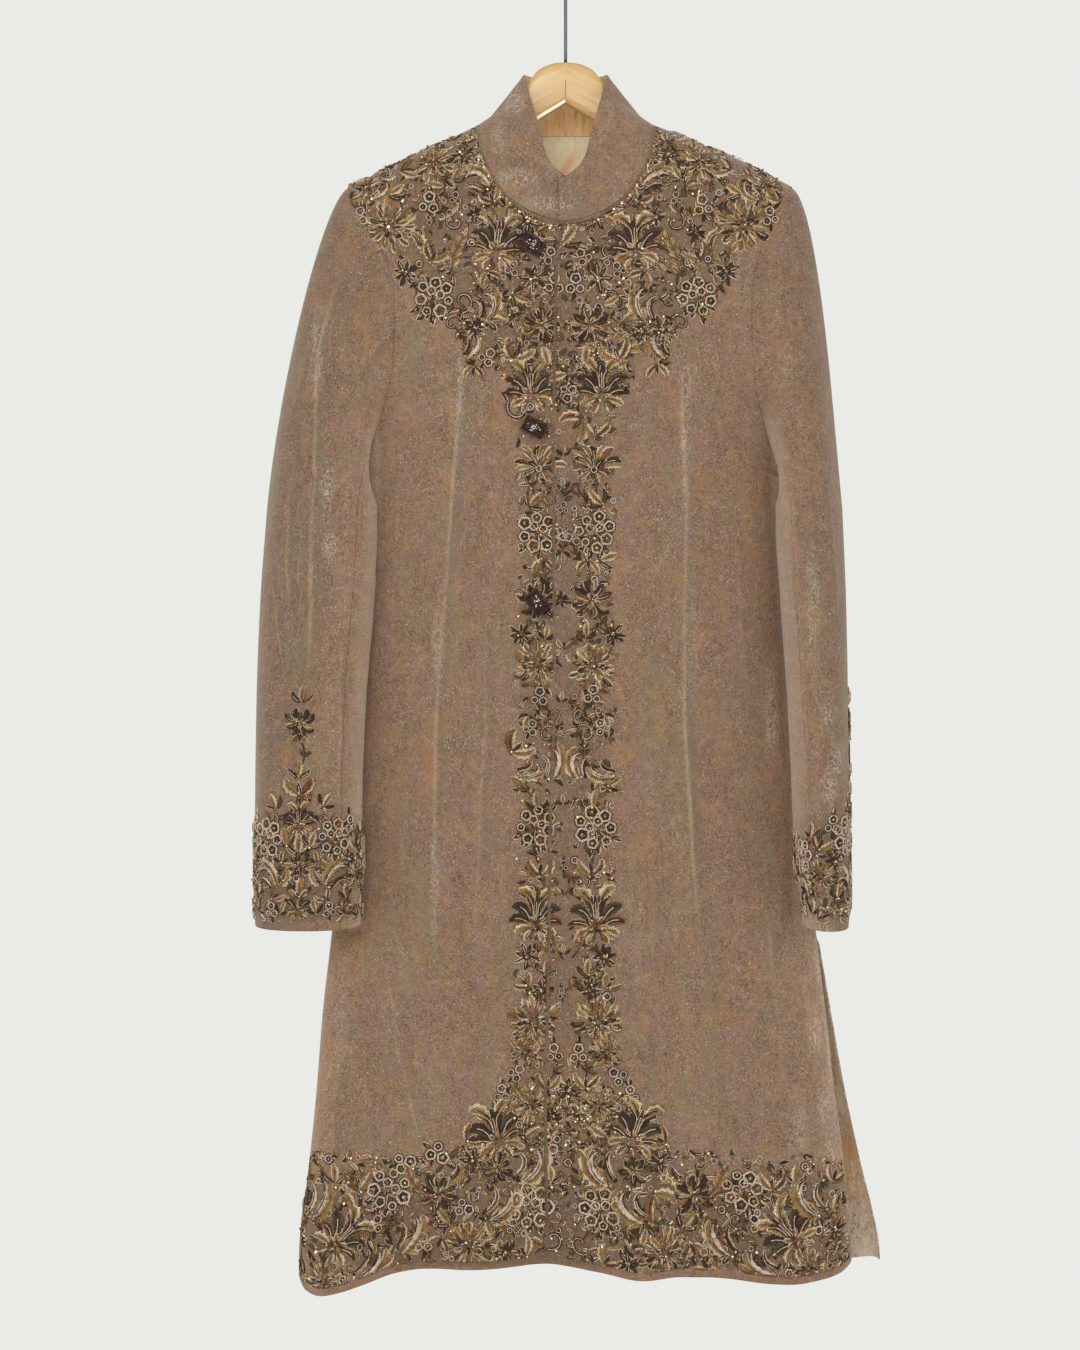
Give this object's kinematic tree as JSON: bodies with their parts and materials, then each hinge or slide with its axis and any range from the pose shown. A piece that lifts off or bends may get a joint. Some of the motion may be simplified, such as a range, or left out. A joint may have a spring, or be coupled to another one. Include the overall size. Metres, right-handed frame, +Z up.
{
  "type": "sherwani coat on a coat hanger",
  "caption": "Knee-length velvet sherwani coat with stand collar and padded floral embroidery, hanging buttoned on a contoured wooden coat hanger with a steel hook.",
  "frame": {"origin": "top of the inside of the hanger's hook, where the rail carries it", "axes": "+Z up, -Y out of the coat's front, +X to the right of someone who faces the front"},
  "size_m": [0.5597, 0.1747, 1.219],
  "materials": {
    "velvet": "taupe silk velvet with a faint crushed damask figure and metal-thread embroidery",
    "lining": "pale gold satin",
    "button_beads": "dark brown bead work",
    "hanger_wood": "clear-lacquered pale maple",
    "hook_steel": "plain steel wire"
  },
  "bodies": {
    "root": {"front_left": "velvet", "front_right": "velvet", "back": "velvet", "sleeve_top_left": "velvet", "sleeve_top_right": "velvet", "sleeve_under_left": "velvet", "sleeve_under_right": "velvet", "collar": "velvet", "back_lining": "lining", "button_1": "button_beads", "button_2": "button_beads", "button_3": "button_beads", "hanger_arm_left": "hanger_wood", "hanger_arm_right": "hanger_wood", "hook": "hook_steel"}
  },
  "joints": []
}
